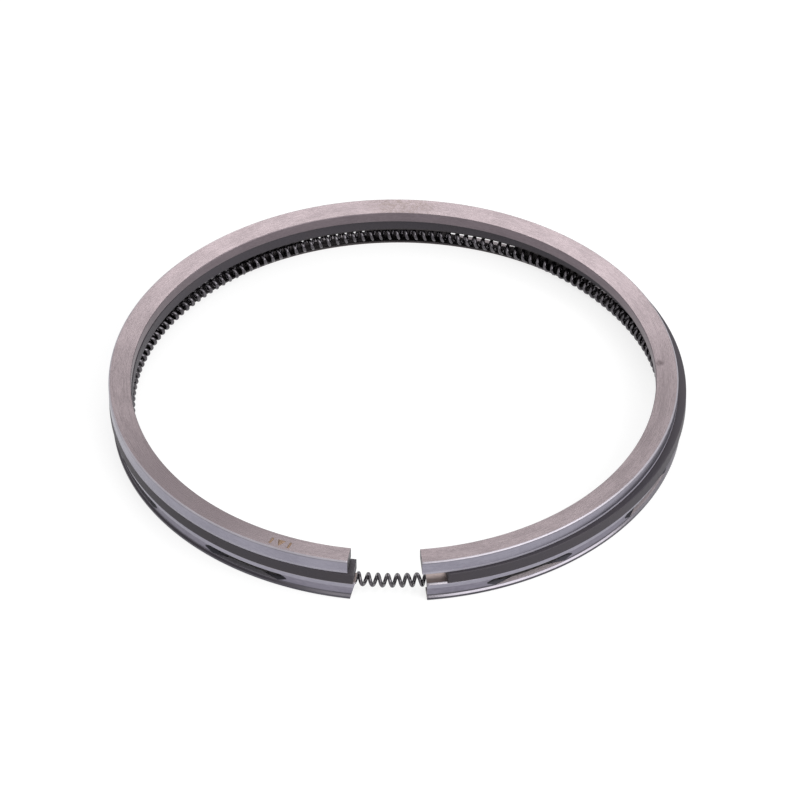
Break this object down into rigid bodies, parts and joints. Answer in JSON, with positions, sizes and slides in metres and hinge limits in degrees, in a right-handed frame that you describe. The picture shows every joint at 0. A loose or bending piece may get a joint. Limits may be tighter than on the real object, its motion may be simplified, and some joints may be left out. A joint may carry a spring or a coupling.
{
  "type": "piston ring set",
  "caption": "Stacked piston rings for one piston: keystone top ring, tapered second ring and slotted oil ring with its coil spring expander.",
  "frame": {"origin": "axis of the oil ring, on the plane of its lower side face, where the set lies", "axes": "+Z along the rings' axis from the oil ring to the top ring; the gaps face -Y"},
  "size_m": [0.1076, 0.1073, 0.0091],
  "materials": {
    "ground_steel": "fine ground side face with a satin plated running face",
    "phosphated_iron": "dark matt phosphate",
    "satin_chrome": "satin chrome on the lands",
    "spring_wire": "dark drawn wire with a soft sheen"
  },
  "bodies": {
    "root": {"top_ring": "ground_steel", "second_ring": "phosphated_iron", "oil_ring": "satin_chrome", "expander_spring": "spring_wire"}
  },
  "joints": []
}
